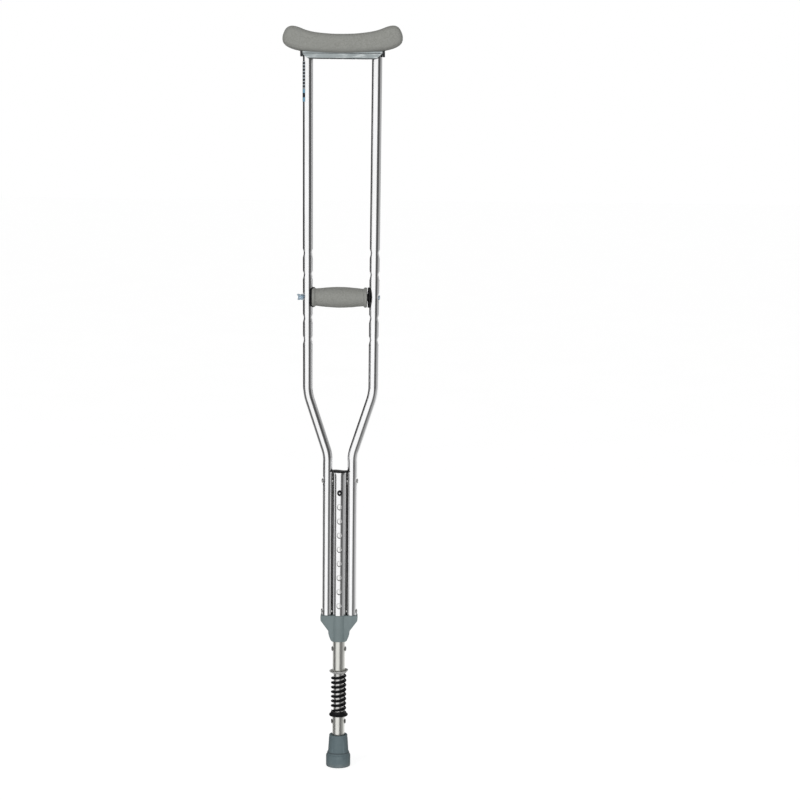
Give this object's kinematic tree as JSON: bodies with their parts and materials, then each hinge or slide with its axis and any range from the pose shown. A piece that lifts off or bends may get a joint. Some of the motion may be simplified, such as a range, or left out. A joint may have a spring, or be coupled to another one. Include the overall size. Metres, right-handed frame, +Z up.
{
  "type": "underarm crutch",
  "caption": "Underarm crutch: bent side tubes with a foam pad and hand grip, a telescoping lower tube with snap buttons, and a spring-loaded rubber tip.",
  "frame": {"origin": "centre of the rubber tip's tread, on the floor, at the middle of the overall box", "axes": "+Z up along the crutch, +X to the right seen from the front (the wing nut is on the -X side), -Y to the front, where the height holes show"},
  "size_m": [0.2078, 0.044, 1.3126],
  "materials": {
    "foam_rubber": "matt grey speckled foam rubber",
    "bracket_plastic": "light blue-grey moulded plastic",
    "polished_aluminium": "bright drawn aluminium with fine lines along the tube",
    "label_vinyl": "pale vinyl label with plain bars",
    "black_plastic": "black moulded plastic",
    "yoke_plastic": "blue-grey moulded plastic",
    "zinc_plate": "blue-white zinc plating",
    "satin_aluminium": "satin aluminium",
    "steel": "plain nickel-plated steel",
    "black_spring_steel": "black lacquered spring steel",
    "tip_rubber": "matt blue-grey rubber"
  },
  "bodies": {
    "foot": {"rubber_tip": "tip_rubber", "tip_washer": "steel", "foot_tube": "satin_aluminium", "foot_rivet": "steel", "spring_collar": "black_plastic", "plunger_tube": "steel", "shock_spring": "black_spring_steel"},
    "extension": {"extension_tube": "satin_aluminium", "snap_spring": "steel", "stop_pin": "steel", "cup_washer": "steel"},
    "front_button": {"front_snap_button": "steel"},
    "rear_button": {"rear_snap_button": "steel"},
    "frame": {"underarm_pad": "foam_rubber", "underarm_bracket": "bracket_plastic", "left_side_tube": "polished_aluminium", "right_side_tube": "polished_aluminium", "size_label": "label_vinyl", "center_tube": "polished_aluminium", "center_tube_cap": "black_plastic", "bottom_yoke": "yoke_plastic", "upper_cross_rivet": "polished_aluminium", "left_lower_rivet": "polished_aluminium", "right_lower_rivet": "polished_aluminium", "grip_foam": "foam_rubber", "grip_core": "black_plastic", "left_grip_saddle": "black_plastic", "right_grip_saddle": "black_plastic", "grip_bolt": "zinc_plate"},
    "nut_washer": {"grip_washer": "zinc_plate"},
    "nut": {"wing_nut": "zinc_plate"}
  },
  "joints": [
    {"name": "foot_spring_slide", "type": "slide", "parent": "foot", "child": "extension", "axis": [0, 0, -1], "range_m": [0, 0.013], "stiffness_N_per_m": 20000, "springref_m": -0.004, "deforming": ["shock_spring"]},
    {"name": "height_slide", "type": "slide", "parent": "extension", "child": "frame", "axis": [0, 0, 1], "range_m": [0, 0.2032], "deforming": ["front_snap_button", "rear_snap_button"]},
    {"name": "front_button_press", "type": "slide", "parent": "extension", "child": "front_button", "axis": [0, 1, 0], "range_m": [0, 0.0032], "stiffness_N_per_m": 4000, "springref_m": -0.001, "deforming": ["snap_spring"]},
    {"name": "rear_button_press", "type": "slide", "parent": "extension", "child": "rear_button", "axis": [0, -1, 0], "range_m": [0, 0.0032], "stiffness_N_per_m": 4000, "springref_m": -0.001, "deforming": ["snap_spring"]},
    {"name": "nut_travel", "type": "slide", "parent": "frame", "child": "nut_washer", "axis": [-1, 0, 0], "range_m": [0, 0.00508]},
    {"name": "nut_turn", "type": "hinge", "parent": "nut_washer", "child": "nut", "pos_m": [-0.0715, 0, 0.8425], "axis": [-1, 0, 0], "range_deg": [0, 1440]}
  ],
  "couplings": [
    {"joint": "nut_travel", "follows": "nut_turn", "m_per_rad": 0.00020213}
  ]
}
